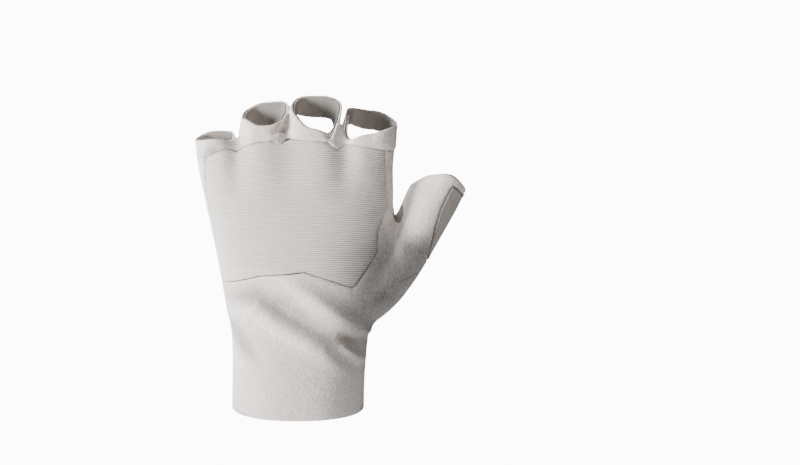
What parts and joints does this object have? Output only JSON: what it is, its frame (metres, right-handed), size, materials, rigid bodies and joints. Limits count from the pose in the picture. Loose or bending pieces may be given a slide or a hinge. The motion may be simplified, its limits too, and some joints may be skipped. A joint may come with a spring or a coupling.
{
  "type": "open-palm climbing glove",
  "caption": "Open-palm jamming glove for the left hand, with a ribbed back panel, finger loops, a thumb loop and a strapped wrist.",
  "frame": {"origin": "centre of the wrist opening, level with the cuff's edge", "axes": "+Z from the wrist to the fingers, -Y out of the back of the hand, +Y out of the palm, +X to the thumb side"},
  "size_m": [0.1346, 0.0463, 0.1583],
  "materials": {
    "white_suede": "matte microsuede",
    "ribbed_grip": "fine ribbed, slightly satin",
    "grey_suede": "matte suede lining",
    "tab_suede": "matte suede",
    "binding": "woven binding",
    "loop_pile": "brushed loop pile",
    "black_strap": "smooth moulded, matte"
  },
  "bodies": {
    "root": {"back_shell": "white_suede", "ribbed_panel": "ribbed_grip", "back_lining": "grey_suede", "thumb_band": "ribbed_grip", "heel_binding": "binding", "cuff_underflap": "grey_suede", "closure_patch": "loop_pile", "closure_strap": "black_strap", "loop_pinky": "white_suede", "loop_ring": "white_suede", "loop_middle": "white_suede", "loop_index": "white_suede", "tab_index": "tab_suede", "tab_middle": "tab_suede", "tab_ring": "tab_suede"}
  },
  "joints": []
}
